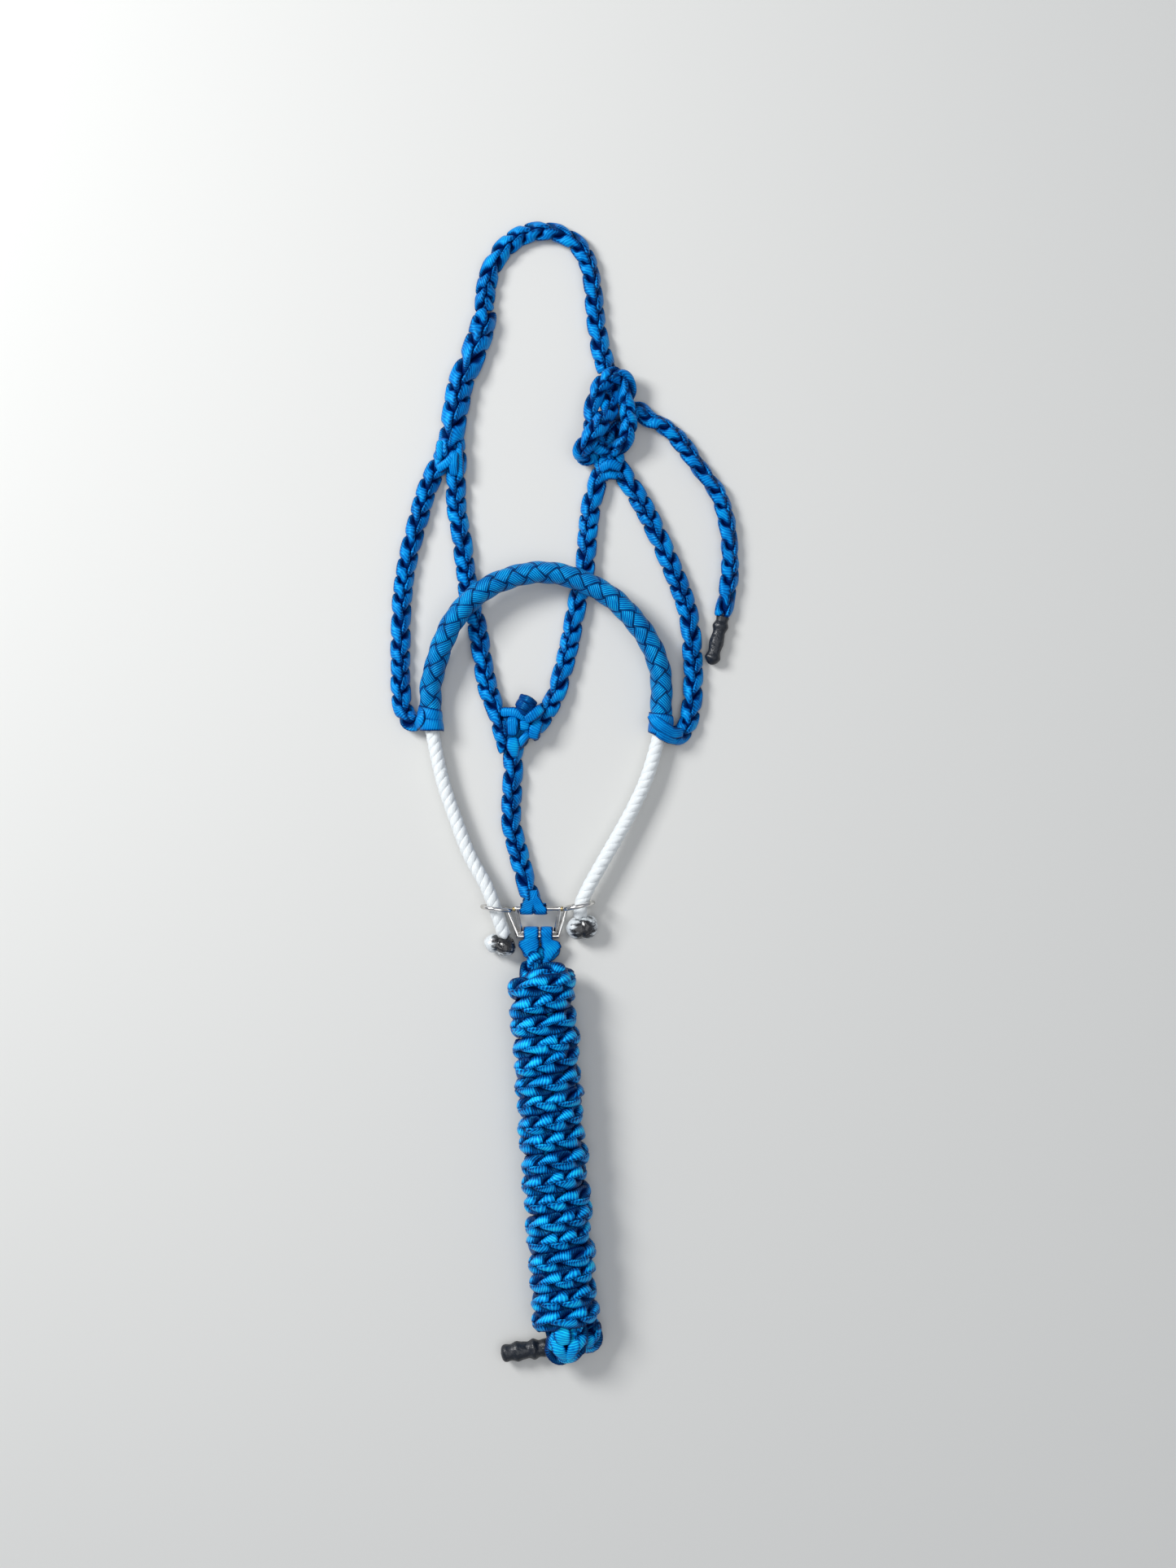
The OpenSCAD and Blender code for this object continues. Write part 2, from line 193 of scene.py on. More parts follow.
def distances(curve):
    """The distance along a curve to each of its points."""
    return np.concatenate([[0], np.cumsum(np.linalg.norm(np.diff(curve, axis=0), axis=1))])


def sample(rows, at, where):
    """The rows given at `at`, read at `where` by straight interpolation."""
    return np.stack([np.interp(where, at, column) for column in np.array(rows, float).T], axis=1)


def triad(path, outward):
    """Each point's own heading, side and up; up stays as near to `outward` as it can."""
    along = unit(np.gradient(path, axis=0))
    side = unit(np.cross(along, np.broadcast_to(outward, path.shape)))
    return along, side, np.cross(side, along)


def drift(s, seed, size, reach):
    """A slow seeded wander along s: about +-size, changing over `reach` metres."""
    rng = np.random.default_rng(seed)
    waves = [(rng.uniform(0.6, 1.7) / reach, rng.uniform(0, 2 * pi)) for _ in range(4)]
    return size * sum(np.sin(2 * pi * f * s + p) for f, p in waves) / 2.2


def rounded(gap, over, least):
    """The shape of a rounded end: `least` at it, and 1 from `over` metres away, by a quarter circle."""
    near = np.clip(gap / over, 0, 1)
    return np.sqrt(1 - (1 - near) ** 2) * (1 - least) + least


# ---------------------------------------------------------------- strands
def ring_faces(rows, n):
    """Quads between rings of n points."""
    i, j = np.meshgrid(np.arange(rows - 1), np.arange(n), indexing="ij")
    a, b = i * n + j, i * n + (j + 1) % n
    return np.stack([a, b, b + n, a + n], axis=-1).reshape(-1, 4)


def closed(rings, tape_map):
    """A strand from rings of points (rows, n, 3) and its map (rows, n, 4), with both ends shut."""
    rows, n = rings.shape[:2]
    caps = [np.arange(n)[::-1], (rows - 1) * n + np.arange(n)]
    return rings.reshape(-1, 3), ring_faces(rows, n), caps, tape_map.reshape(-1, 4)


def four(u, v, across, face):
    """A strand's map: ribs counted, centimetres along, -1 to 1 across, and 1 on top to 0 in a gap; the tape
    materials turn that last value into painted shade.
    """
    return np.stack(np.broadcast_arrays(u, v, across, face), axis=-1)


def strand(centre, across, normal, half_w, half_t, lean, sides=14, full=1.0):
    """One plump tape, with its ribs leaning `lean` from straight across it."""
    a = -2 * pi * (np.arange(sides) + 0.5) / sides
    c = np.sign(np.cos(a)) * np.abs(np.cos(a)) ** full
    n = np.sign(np.sin(a)) * np.abs(np.sin(a)) ** full
    w = np.broadcast_to(half_w, len(centre))[:, None]
    t = np.broadcast_to(half_t, len(centre))[:, None]
    turn = np.broadcast_to(lean, len(centre))[:, None]
    rings = centre[:, None] + across[:, None] * (w * c)[..., None]
    rings = rings + normal[:, None] * (t * n)[..., None]
    s = distances(centre)[:, None]
    along = np.cumsum(np.gradient(s[:, 0])[:, None] * np.cos(turn), axis=0)
    u = (along + w * c * np.sin(turn)) / RIB
    # The map's last value is 1 on the top face and falls to 0.24 underneath; the tape materials paint shade
    # from it, darker on the sides and underside.
    return closed(rings, four(u, s * 100, c, 0.62 + 0.38 * n))


def plait(
    path, outward=(0, 0, 1), width=BRAID_W, thick=HEAP_T, roll=(0,), seed=1, facet=FACET, fine=0.0011,
    sides=18, ribs=0.5, leaf=0.275, painted_side_shade=0.0, wild=1.3,
):
    """Three plump tapes plaited along a path: a list of strands. The leaves' tips point along it.

    roll: degrees the braid is turned about its own line, at places along it. ribs: the ribs' lean.
    leaf: half a tape's width, as a share of the braid's. painted_side_shade: how much painted shade darkens
    the braid's sides. wild: how much the tapes wander.
    """
    at = distances(path)
    s = np.linspace(0, at[-1], max(int(at[-1] / fine), 4))
    c = sample(path, at, s)
    face = outward if np.ndim(outward) == 1 else sample(outward, at, s)
    _, side, up = triad(c, face)
    turn = np.interp(s, np.linspace(0, s[-1], len(roll)), np.radians(roll))
    turn = (turn + drift(s, seed, size=0.12 * wild, reach=0.05))[:, None]
    side, up = side * np.cos(turn) + up * np.sin(turn), up * np.cos(turn) - side * np.sin(turn)
    plump = thick * PLUMP
    ends = rounded(np.minimum(s, s[-1] - s), over=0.004, least=0.1)
    strands = []
    for k in range(3):
        angle = 2 * pi * (s / (3 * facet) + k / 3) + drift(s, seed + 7, size=0.25 * wild, reach=0.06)
        x = (width / 2 - plump) * np.sin(angle)
        z = -(thick / 2 - plump) * np.sin(2 * angle)
        centre = c + side * x[:, None] + up * z[:, None]
        look = (pi / 2) * (1 + np.cos(angle))[:, None]
        head = unit(np.gradient(centre, axis=0))
        across = unit(np.cross(head, side * np.cos(look) + up * np.sin(look)))
        half_w = width * (leaf + 0.05 * np.abs(np.sin(angle)))
        half_w = half_w * (1 + drift(s, seed + 20 + k, size=0.06, reach=0.02)) * ends
        half_t = plump * ends * (1 + drift(s, seed + 40 + k, size=0.05, reach=0.02))
        lean = ribs + drift(s, seed + 60 + k, size=0.25 * wild, reach=0.03)
        co, quads, caps, lines = strand(centre, across, np.cross(across, head), half_w, half_t, lean, sides)
        gap = co.reshape(len(c), sides, 3) - c[:, None]
        beside = np.abs((gap * side[:, None]).sum(-1)) * 2 / width
        above = np.abs((gap * up[:, None]).sum(-1)) * 2 / thick
        held, pull = within(beside, above)
        co = (c[:, None] + gap * pull[..., None]).reshape(-1, 3)
        # The map's last value is painted shade: held makes it low in the gaps between leaves, and
        # painted_side_shade lowers it towards the braid's sides.
        lines[:, 3] = (held - painted_side_shade * np.clip(beside - 0.6, 0, 1)).ravel()
        strands.append((co, quads, caps, lines))
    return strands


def within(beside, above, corner=2.3, free=0.75, soft=0.3):
    """Eases points into a braid's outline: how far out each one ends, and what to multiply it by.

    beside and above are 1 at the outline, whose corners are round.
    """
    deep = np.maximum(beside**corner + above**corner, 1e-6) ** (1 / corner)
    held = np.where(deep < free, deep, free + soft * np.tanh((deep - free) / soft))
    return held, held / deep


def tape(points, widths, thick, outward=(0, 0, 1), lean=pi / 2, fine=0.001):
    """A single flat tape along a few points as one strand; its widths are spread evenly along it."""
    path = smooth(points)
    at = distances(path)
    s = np.linspace(0, at[-1], max(int(at[-1] / fine), 6))
    c = sample(path, at, s)
    face = outward if np.ndim(outward) == 1 else sample(outward, np.linspace(0, at[-1], len(outward)), s)
    _, side, up = triad(c, face)
    half_w = np.interp(s, np.linspace(0, at[-1], len(widths)), widths) / 2
    gap, over = np.minimum(s, at[-1] - s), min(0.0028, at[-1] / 3)
    seed = int(abs(c[0, 0]) * 1e6)
    half_w = half_w * rounded(gap, over, least=0.56) * (1 + drift(s, seed, size=0.05, reach=0.008))
    half_t = thick / 2 * rounded(gap, over, least=0.1)
    return strand(c, side, up, half_w, half_t, lean, sides=22, full=0.72)


def herringbone(path, outer, fine=0.0009, sides=24):
    """Six flat tapes braided round a core; three wind each way, each over one and under one.

    p and q count the tapes crossed, p along one way of winding and q along the other.
    """
    n = COVER_TAPES
    lay = n * COVER_FACET
    wave, half_t, crown = 0.00055, 0.0005, 0.00025  # weave in and out, half a tape, its raised middle
    half_w = 0.487  # half a tape's width, when the next tape's middle is 1 away
    mid = outer - wave - half_t - crown
    at = distances(path)
    _, side, up = triad(path, (0, 0, 1))
    a = 2 * pi * (np.arange(sides) + 0.5) / sides
    e = half_w * np.cos(a)[None, :]
    lift = half_t * np.sign(np.sin(a)) * np.abs(np.sin(a)) ** 0.4
    lift = lift + crown * (1 - (2 * e) ** 2)
    strands = []
    for way in (1, -1):
        for k in range(n):
            t = np.arange(k + 0.5, 2 * n * at[-1] / lay + k - 0.5, 2 * n * fine / lay)[:, None]
            t = t if way == 1 else t - 2 * k
            p, q = (k + e, t + 0 * e) if way == 1 else (-t + 0 * e, k + e)
            swing = np.cos(pi * ((q if way == 1 else p) + k))
            swing = np.sign(swing) * np.abs(swing) ** 0.7
            r = mid + way * wave * swing + lift
            s = np.clip(lay * (q - p) / (2 * n), 0, at[-1])
            phi = pi * (p + q) / n
            flat = s.ravel()
            c, x, z = (sample(rows, at, flat).reshape(*s.shape, 3) for rows in (path, side, up))
            rings = c + x * (r * np.cos(phi))[..., None] + z * (r * np.sin(phi))[..., None]
            gone = distances(rings[:, 0])[:, None] * 100 + 0 * e
            over = np.sqrt((1 + way * swing) / 2)
            # Painted shade: face falls where a tape dips under the next one, towards its edges and on its
            # underside.
            face = 0.42 + 0.20 * lift / half_t + 0.42 * over
            strands.append(closed(rings, four(e * COVER_RIBS, gone, 2 * e, face)))
    return strands


def laid_rope(path, diameter, lay=ROPE_LAY, fine=0.0012):
    """Three soft strands laid to the right, each a little flattened against the others."""
    at = distances(path)
    s = np.linspace(0, at[-1], int(at[-1] / fine))
    c = sample(path, at, s)
    _, side, up = triad(c, (0, 0, 1))
    r = diameter / 2
    strands = []
    for k in range(3):
        angle = -2 * pi * (s / lay + k / 3)[:, None]
        out = side * np.cos(angle) + up * np.sin(angle)
        centre = c + out * r * 0.50
        head = unit(np.gradient(centre, axis=0))
        across = unit(np.cross(head, out))
        strands.append(strand(centre, across, np.cross(across, head), r * 0.66, r * 0.50, lean=1.25))
    return strands


def knob(balls, seed):
    """Balls melted into one: a round shell pushed out to the furthest ball each way."""
    middle = np.array([b[:3] for b in balls]).mean(axis=0)
    theta = np.linspace(0.02, pi - 0.02, 40)
    phi = np.linspace(0, 2 * pi, 56, endpoint=False)
    t, f = np.meshgrid(theta, phi, indexing="ij")
    rays = np.stack([np.cos(t), np.sin(t) * np.cos(f), np.sin(t) * np.sin(f)], axis=-1)
    reach = np.zeros(t.shape)
    for x, y, z, r in balls:
        gap = np.array([x, y, z]) - middle
        near = rays @ gap
        inside = near**2 - gap @ gap + r * r
        hit = np.where(inside > 0, near + np.sqrt(np.maximum(inside, 0)), 0)
        reach = np.maximum(reach, hit)
    rng = np.random.default_rng(seed)
    for _ in range(7):
        d = unit(rng.normal(size=3))
        reach = reach * (1 + 0.02 * np.sin((rays @ d) * rng.uniform(3, 8) + rng.uniform(0, 6)))
    rings = middle + rays * reach[..., None]
    return closed(rings, four(f * 0.005 / RIB, t, 0.0, 1.0))


# ---------------------------------------------------------------- objects
def piece(name, strands, material, body):
    """One object from strands; what would sink below the surface it lies on is pressed flat."""
    points, faces, maps, start = [], [], [], 0
    for co, quads, caps, tape_map in strands:
        points.append(co)
        maps.append(tape_map)
        faces += [tuple(q) for q in (quads + start).tolist()]
        faces += [tuple((cap + start).tolist()) for cap in caps]
        start += len(co)
    co = np.vstack(points)
    co[:, 2] = np.maximum(co[:, 2], FLOOR_GAP)
    mesh = bpy.data.meshes.new(name)
    mesh.from_pydata(co.tolist(), [], faces)
    corner = np.zeros(len(mesh.loops), np.int32)
    mesh.loops.foreach_get("vertex_index", corner)
    # The 'edge' layer holds the across value and the value that the tape materials paint shade from.
    for k, layer_name in enumerate(("tape", "edge")):
        layer = mesh.uv_layers.new(name=layer_name)
        layer.data.foreach_set("uv", np.vstack(maps)[corner, 2 * k : 2 * k + 2].astype(np.float32).ravel())
    mesh.polygons.foreach_set("use_smooth", [True] * len(mesh.polygons))
    mesh.materials.append(material)
    obj = bpy.data.objects.new(name, mesh)
    bpy.context.scene.collection.objects.link(obj)
    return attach(obj, body)


def finished(obj, slot, *nodes):
    """Hides the CAD nodes that an object stands for and returns the object; slot is not used."""
    if nodes:
        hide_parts(*nodes)
    return obj


# ---------------------------------------------------------------- materials
class Nodes:
    """A material's node tree, with short ways to add and join nodes."""

    def __init__(self, name):
        self.material = bpy.data.materials.new(name)
        self.material.use_nodes = True
        self.tree = self.material.node_tree
        self.shader = next(n for n in self.tree.nodes if n.type == "BSDF_PRINCIPLED")

    def add(self, kind, ins=None, **props):
        """A new shader node with its properties set and its inputs filled."""
        node = self.tree.nodes.new("ShaderNode" + kind)
        for key, value in props.items():
            setattr(node, key, value)
        for key, value in (ins or {}).items():
            self.put(node.inputs[key], value)
        return node

    def put(self, socket, value):
        """Links a socket's value into an input, or sets a plain value on it."""
        if isinstance(value, bpy.types.NodeSocket):
            self.tree.links.new(value, socket)
        else:
            socket.default_value = value

    def math(self, operation, a, b=0.0):
        return self.add("Math", {0: a, 1: b}, operation=operation).outputs[0]

    def scaled(self, value, times, plus):
        """value * times + plus."""
        ins = {0: value, 1: times, 2: plus}
        return self.add("Math", ins, operation="MULTIPLY_ADD").outputs[0]

    def stretched(self, vector, factors):
        """A vector with each of its parts multiplied by its own factor."""
        return self.add("VectorMath", {0: vector, 1: factors}, operation="MULTIPLY").outputs[0]

    def place(self):
        """Where a point is on its object."""
        return self.add("TexCoord").outputs["Object"]

    def uv(self, layer):
        return self.add("UVMap", uv_map=layer).outputs["UV"]

    def ramp(self, factor, stops):
        """A colour picked by factor from stops of (place, colour)."""
        node = self.add("ValToRGB", {"Fac": factor})
        points = node.color_ramp.elements
        while len(points) < len(stops):
            points.new(0.5)
        for point, (place, colour) in zip(points, stops):
            point.position = place
            point.color = (*colour, 1)
        return node.outputs["Color"]

    def noise(self, vector, scale, detail=3.0, rough=0.55):
        ins = {"Vector": vector, "Scale": scale, "Detail": detail, "Roughness": rough}
        return self.add("TexNoise", ins).outputs["Fac"]

    def bump(self, height, distance, after=None):
        ins = {"Height": height, "Distance": distance, "Strength": 1.0}
        if after is not None:
            ins["Normal"] = after
        return self.add("Bump", ins).outputs["Normal"]

    def end(self, **sockets):
        """The material, once the shader's named sockets are filled."""
        for key, value in sockets.items():
            self.put(self.shader.inputs[key.replace("_", " ")], value)
        return self.material


def tape_material(name, dark_tone_and_painted_shade, body, pale_tone_and_painted_highlight, depth=0.00014, lines=0.26, painted_edge_shade=0.35, patch=0.75):
    """Satin polyester tape: fine ribs with a painted highlight on their tops, threads across them, and
    painted shade at its edges, in gaps and underneath.

    groove, body and crest are its colours from dark to bright: groove is the dark end of its tone and
    the colour of painted shade, crest the pale end and the colour of the painted highlight. depth is the
    ribs' height. lines, border and patch say how much the painted highlight on the ribs, the painted
    shade at the tape's edges and slow patches of tone change its colour.
    """
    m = Nodes(name)
    tape_map, place = m.uv("tape"), m.place()
    counted = m.add("SeparateXYZ", {0: tape_map}).outputs["X"]
    edge_map = m.add("SeparateXYZ", {0: m.uv("edge")})
    wobble = m.math("MULTIPLY", m.noise(place, 160.0, 2.0), 0.9)
    turn = m.math("MULTIPLY", m.math("ADD", counted, wobble), 2 * pi)
    rib = m.scaled(m.math("COSINE", turn), 0.5, 0.5)
    thin = m.math("POWER", rib, 2.5)
    threads = m.noise(m.stretched(tape_map, (1.5, 26.0, 1.0)), 1.0, 2.0)
    patches = m.noise(place, 75.0, 3.0)
    # Painted shade at the tape's edges, where it curves down: across rises to 1 there.
    across = m.math("POWER", m.math("ABSOLUTE", edge_map.outputs["X"]), 5.0)
    # Painted shade from the map's last value: darker in the gaps between leaves and on the sides and
    # underside.
    under = m.add("MapRange", {"Value": edge_map.outputs["Y"], "From Min": 0.93, "From Max": 0.55})
    # The ribs' tops (thin) add a painted highlight; patches and threads are the tape's own tone.
    shade = m.math("ADD", m.math("MULTIPLY", thin, lines), m.math("MULTIPLY", patches, patch))
    shade = m.math("ADD", shade, m.math("MULTIPLY", threads, 0.25))
    shade = m.math("SUBTRACT", shade, m.math("MULTIPLY", across, painted_edge_shade))
    shade = m.math("SUBTRACT", shade, m.math("MULTIPLY", under.outputs[0], 0.8))
    stops = [(0.05, dark_tone_and_painted_shade), (0.42, body), (0.95, pale_tone_and_painted_highlight)]
    height = m.math("ADD", rib, m.math("MULTIPLY", threads, 0.35))
    return m.end(
        Base_Color=m.ramp(m.math("SUBTRACT", shade, 0.15), stops),
        Roughness=m.scaled(threads, 0.22, 0.28),
        Normal=m.bump(height, depth),
        Specular_IOR_Level=0.6,
        Specular_Tint=(0.05, 0.65, 1.0, 1),
    )


def rope_material():
    """Bright soft white rope: fine fibres that run with the strands."""
    m = Nodes("white_rope")
    fibre = m.noise(m.stretched(m.uv("tape"), (2.6, 1.2, 1.0)), 2.2, 5.0, 0.65)
    stops = [(0.25, (0.60, 0.66, 0.68)), (0.5, (0.80, 0.84, 0.85)), (0.8, (0.90, 0.93, 0.93))]
    return m.end(
        Base_Color=m.ramp(fibre, stops),
        Roughness=0.62,
        Normal=m.bump(fibre, 0.0005),
        Sheen_Weight=0.3,
        Specular_IOR_Level=0.3,
    )


def dip_material():
    """Black rubber dip: glossy where it pooled, lumpy, and scuffed a little."""
    m = Nodes("black_dip")
    place = m.place()
    lumps = m.noise(place, 210.0, 3.0)
    scuffs = m.noise(place, 900.0, 4.0, 0.7)
    stops = [(0.3, (0.004, 0.006, 0.010)), (0.62, (0.010, 0.014, 0.022)), (0.8, (0.05, 0.07, 0.09))]
    return m.end(
        Base_Color=m.ramp(scuffs, stops),
        Roughness=m.scaled(lumps, 0.4, 0.15),
        Normal=m.bump(scuffs, 0.00015, after=m.bump(lumps, 0.0012)),
        Specular_IOR_Level=0.5,
    )


def burnt_material(name, centre, reach):
    """Rope melted into a glossy knob: black round `centre` where it burnt, streaked white beyond."""
    m = Nodes(name)
    place = m.place()
    char = m.noise(place, 230.0, 4.0, 0.6)
    streaks = m.noise(place, 420.0, 3.0)
    swirls = m.noise(m.stretched(place, (140.0, 420.0, 300.0)), 1.0, 4.0, 0.6)
    away = m.add("VectorMath", {0: place, 1: centre}, operation="DISTANCE").outputs["Value"]
    ramped = m.add("MapRange", {"Value": away, "From Min": reach * 0.4, "From Max": reach}, clamp=False)
    mixed = m.math("ADD", ramped.outputs[0], m.math("MULTIPLY", m.math("SUBTRACT", swirls, 0.5), 3.0))
    stops = [(0.35, (0.006, 0.006, 0.008)), (0.60, (0.07, 0.08, 0.09)), (0.95, (0.62, 0.66, 0.68))]
    return m.end(
        Base_Color=m.ramp(mixed, stops),
        Roughness=m.math("MULTIPLY", streaks, 0.38),
        Normal=m.bump(char, 0.0016),
        Coat_Weight=0.8,
        Coat_Roughness=0.08,
    )


def nickel_material():
    """Bright nickel-plated wire with fine drawing marks and a little tarnish."""
    m = Nodes("nickel")
    place = m.place()
    marks = m.noise(place, 1400.0, 3.0)
    tarnish = m.noise(place, 120.0, 3.0)
    return m.end(
        Base_Color=m.ramp(tarnish, [(0.3, (0.50, 0.48, 0.45)), (0.65, (0.82, 0.81, 0.79))]),
        Metallic=1.0,
        Roughness=m.scaled(marks, 0.18, 0.06),
        Normal=m.bump(marks, 0.00004),
    )


def brass_material():
    """Brazing metal: pitted and yellow."""
    m = Nodes("braze")
    pits = m.noise(m.place(), 900.0, 4.0)
    stops = [(0.3, (0.18, 0.12, 0.05)), (0.6, (0.55, 0.42, 0.18)), (0.8, (0.85, 0.75, 0.5))]
    return m.end(
        Base_Color=m.ramp(pits, stops), Metallic=1.0, Roughness=0.35, Normal=m.bump(pits, 0.0004)
    )


# Each tape's first colour is the dark end of its tone and the colour of painted shade, the second its own
# blue, the third the pale end and the colour of the painted highlight on its ribs.
TAPE = tape_material("blue_tape", (0.0, 0.010, 0.10), (0.0, 0.155, 0.55), (0.006, 0.50, 0.78))
# The same tape in darker colours, a shaded copy: painted shade for the tape in the throat knot.
DARK_TAPE = tape_material("shaded_tape", (0.0, 0.006, 0.05), (0.0, 0.035, 0.19), (0.0, 0.11, 0.40))
LEAD_TAPE = tape_material(
    "lead_tape", (0.0, 0.008, 0.08), (0.0, 0.175, 0.60), (0.012, 0.66, 0.95),
    depth=0.0002, lines=0.40, painted_edge_shade=0.5, patch=1.0,
)
COVER_TAPE = tape_material(
    "cover_tape", (0.0, 0.008, 0.08), (0.0, 0.095, 0.42), (0.006, 0.50, 0.82),
    depth=0.0003, lines=0.50, painted_edge_shade=0.9,
)
ROPE = rope_material()
DIP = dip_material()
NICKEL = nickel_material()
BRAZE = brass_material()


# ---------------------------------------------------------------- halter
def strap(name, route, node, seed, **shape):
    """One braided strap of the halter in place of its CAD tube."""
    obj = piece(name, plait(smooth(route), seed=seed, **shape), TAPE, "halter")
    return finished(obj, "tape_blue", node)


def crown():
    """The poll strap, and the doubled splice it splits from."""
    strap("crown_braid", CROWN_ROUTE, "crown_strap", seed=11, roll=(-10, -20, 5, 20, 35, 15, 10))
    strap(
        "splice_braid", SPLICE_ROUTE, "crown_splice", seed=12,
        width=SPLICE_W, thick=SPLICE_T, facet=SPLICE_FACET, roll=(20, 5, -10),
    )


def left_straps():
    """The left cheek and throat straps, from inside the splice to the nose piece and the knot."""
    cheek = [(-0.0695, 0.106, 0.0055), (-0.0715, 0.098, LIE)] + LEFT_CHEEK_ROUTE
    throat = [(-0.0655, 0.106, 0.0055), (-0.0645, 0.098, LIE)] + LEFT_THROAT_ROUTE
    throat += [(-0.0325, -0.0960, 0.0068), (-0.0298, -0.1060, 0.0068), (-0.0275, -0.1150, 0.0062)]
    strap("left_cheek_braid", cheek, "left_cheek_strap", seed=13, roll=(15, 25, 10))
    strap("left_throat_braid", throat, "left_throat_strap", seed=14, roll=(10, 20, 15))


def right_straps():
    """The right cheek and throat straps, from inside the tie's eye to the nose piece and the knot."""
    cheek = [(0.0470, 0.097, 0.009), (0.0485, 0.091, 0.006)] + RIGHT_CHEEK_ROUTE
    throat = [(0.0420, 0.099, 0.009), (0.0412, 0.093, 0.006)] + RIGHT_THROAT_ROUTE
    throat += [(-0.0075, -0.0975, 0.0080), (-0.0125, -0.1055, 0.0070)]
    strap("right_cheek_braid", cheek, "right_cheek_strap", seed=15, roll=(-15, 0, 12))
    strap("right_throat_braid", throat, "right_throat_strap", seed=16, roll=(-5, -20, -10))


def left_fork():
    """The tapes that cross where the left straps leave the splice."""
    cross = [
        tape(
            [(-0.0775, 0.0840, 0.0080), (-0.0700, 0.0885, 0.0115), (-0.0640, 0.0955, 0.0105)],
            [0.0065, 0.0070, 0.0060], thick=0.0060, lean=0.2,
        ),
        tape(
            [(-0.0655, 0.0965, 0.0110), (-0.0660, 0.0880, 0.0110), (-0.0655, 0.0795, 0.0085)],
            [0.0070, 0.0080, 0.0060], thick=0.0065,
        ),
        tape(
            [(-0.0755, 0.1050, 0.0085), (-0.0760, 0.0900, 0.0080)],
            [0.0050, 0.0060, 0.0050], thick=0.0070, lean=0.9,
        ),
        tape(
            [(-0.0620, 0.1000, 0.0085), (-0.0612, 0.0780, 0.0075)],
            [0.0050, 0.0055, 0.0050], thick=0.0070, lean=0.6,
        ),
    ]
    obj = piece("left_fork", cross, TAPE, "halter")


def right_fork():
    """The short neck where the two right straps become one."""
    fork = [
        tape(
            [(0.0380, 0.0840, 0.0085), (0.0445, 0.0875, 0.0110), (0.0525, 0.0850, 0.0085)],
            [0.0070, 0.0080, 0.0070], thick=0.0065, lean=0.3,
        ),
        tape(
            [(0.0390, 0.0785, 0.0055), (0.0445, 0.0808, 0.0070), (0.0505, 0.0795, 0.0060)],
            [0.0060, 0.0070, 0.0060], thick=0.0060, lean=0.2,
        ),
        tape(
            [(0.0400, 0.0930, 0.0090), (0.0405, 0.0820, 0.0075)],
            [0.0070, 0.0080, 0.0060], thick=0.0070, lean=0.4,
        ),
    ]
    obj = piece("right_fork", fork, TAPE, "halter")
    finished(obj, "tape_blue", "right_splice")


def crown_tie():
    """The eye the cheek and throat straps start from, and the hitch tied through it."""
    strap("tie_eye_braid", TIE_EYE_ROUTE, "tie_eye", seed=17, width=EYE_W, roll=(0, 15))
    path = CROWN_HITCH_ROUTE + [(0.072, 0.121, 0.005), (0.078, 0.1185, LIE)]
    strap("crown_hitch_braid", path, "crown_hitch", seed=18, roll=(-20, 10, 30), width=HITCH_W)


def tie_tail():
    """The crown strap's free end, with its dipped tip."""
    path = smooth(TAIL_ROUTE)
    obj = piece("tie_tail_braid", plait(path, seed=19, roll=(30, 38, 30)), TAPE, "halter")
    finished(obj, "tape_blue", "tie_tail")
    tip = dipped_tip("tie_tail_dip", TAIL_TIP_ROUTE, TAIL_TIP_D, "halter", seed=4)
    finished(tip, "dip_black", "tie_tail_tip")


def dipped_tip(name, route, diameter, body, seed):
    """A braid's end dipped in black rubber: lumps of the braid show through the coat."""
    path = smooth(route)
    at = distances(path)
    s = np.linspace(0, at[-1], 60)
    c = sample(path, at, s)
    _, side, up = triad(c, (0, 0, 1))
    lumps = 1 + 0.10 * np.sin(2 * pi * s / 0.0115 + seed) + drift(s, seed, size=0.06, reach=0.01)
    r = diameter / 2 * lumps * rounded(at[-1] - s, over=0.005, least=0.05)
    return piece(name, [strand(c, side, up, r, r * 0.92, lean=0.5, sides=24)], DIP, body)


def throat_knot_lobes():
    """Folded tape lobes where the two throat braids meet over the stem."""
    flat = [
        tape(
            [(-0.0243, -0.0912, 0.0132), (-0.0241, -0.1045, 0.0132)],
            [0.0086, 0.0090, 0.0072], thick=0.0055,
        ),
        tape(
            [(-0.0238, -0.1055, 0.0122), (-0.0236, -0.1120, 0.0122), (-0.0222, -0.1198, 0.0095)],
            [0.0084, 0.0096, 0.0040], thick=0.0060, lean=0.2,
        ),
        tape(
            [(-0.0325, -0.0880, 0.0100), (-0.0220, -0.0882, 0.0118), (-0.0135, -0.0930, 0.0110)],
            [0.0070, 0.0076, 0.0065], thick=0.0060, lean=0.1,
        ),
        tape(
            [(-0.0150, -0.0940, 0.0165), (-0.0095, -0.0902, 0.0170), (-0.0030, -0.0845, 0.0140)],
            [0.0070, 0.0078, 0.0075], thick=0.0060, lean=0.15,
        ),
        tape(
            [(-0.0155, -0.0930, 0.0118), (-0.0155, -0.1012, 0.0108)],
            [0.0085, 0.0075], thick=0.0050, lean=0.2,
        ),
        tape(
            [(-0.0050, -0.0935, 0.0125), (-0.0080, -0.0995, 0.0130), (-0.0098, -0.1068, 0.0105)],
            [0.0078, 0.0090, 0.0080], thick=0.0055, lean=0.1,
        ),
        tape(
            [(-0.0122, -0.1025, 0.0112), (-0.0165, -0.1068, 0.0115), (-0.0202, -0.1120, 0.0100)],
            [0.0048, 0.0060, 0.0048], thick=0.0055,
        ),
    ]
    obj = piece("throat_knot_lobes", flat, TAPE, "halter")
    finished(obj, "tape_blue", "throat_knot")


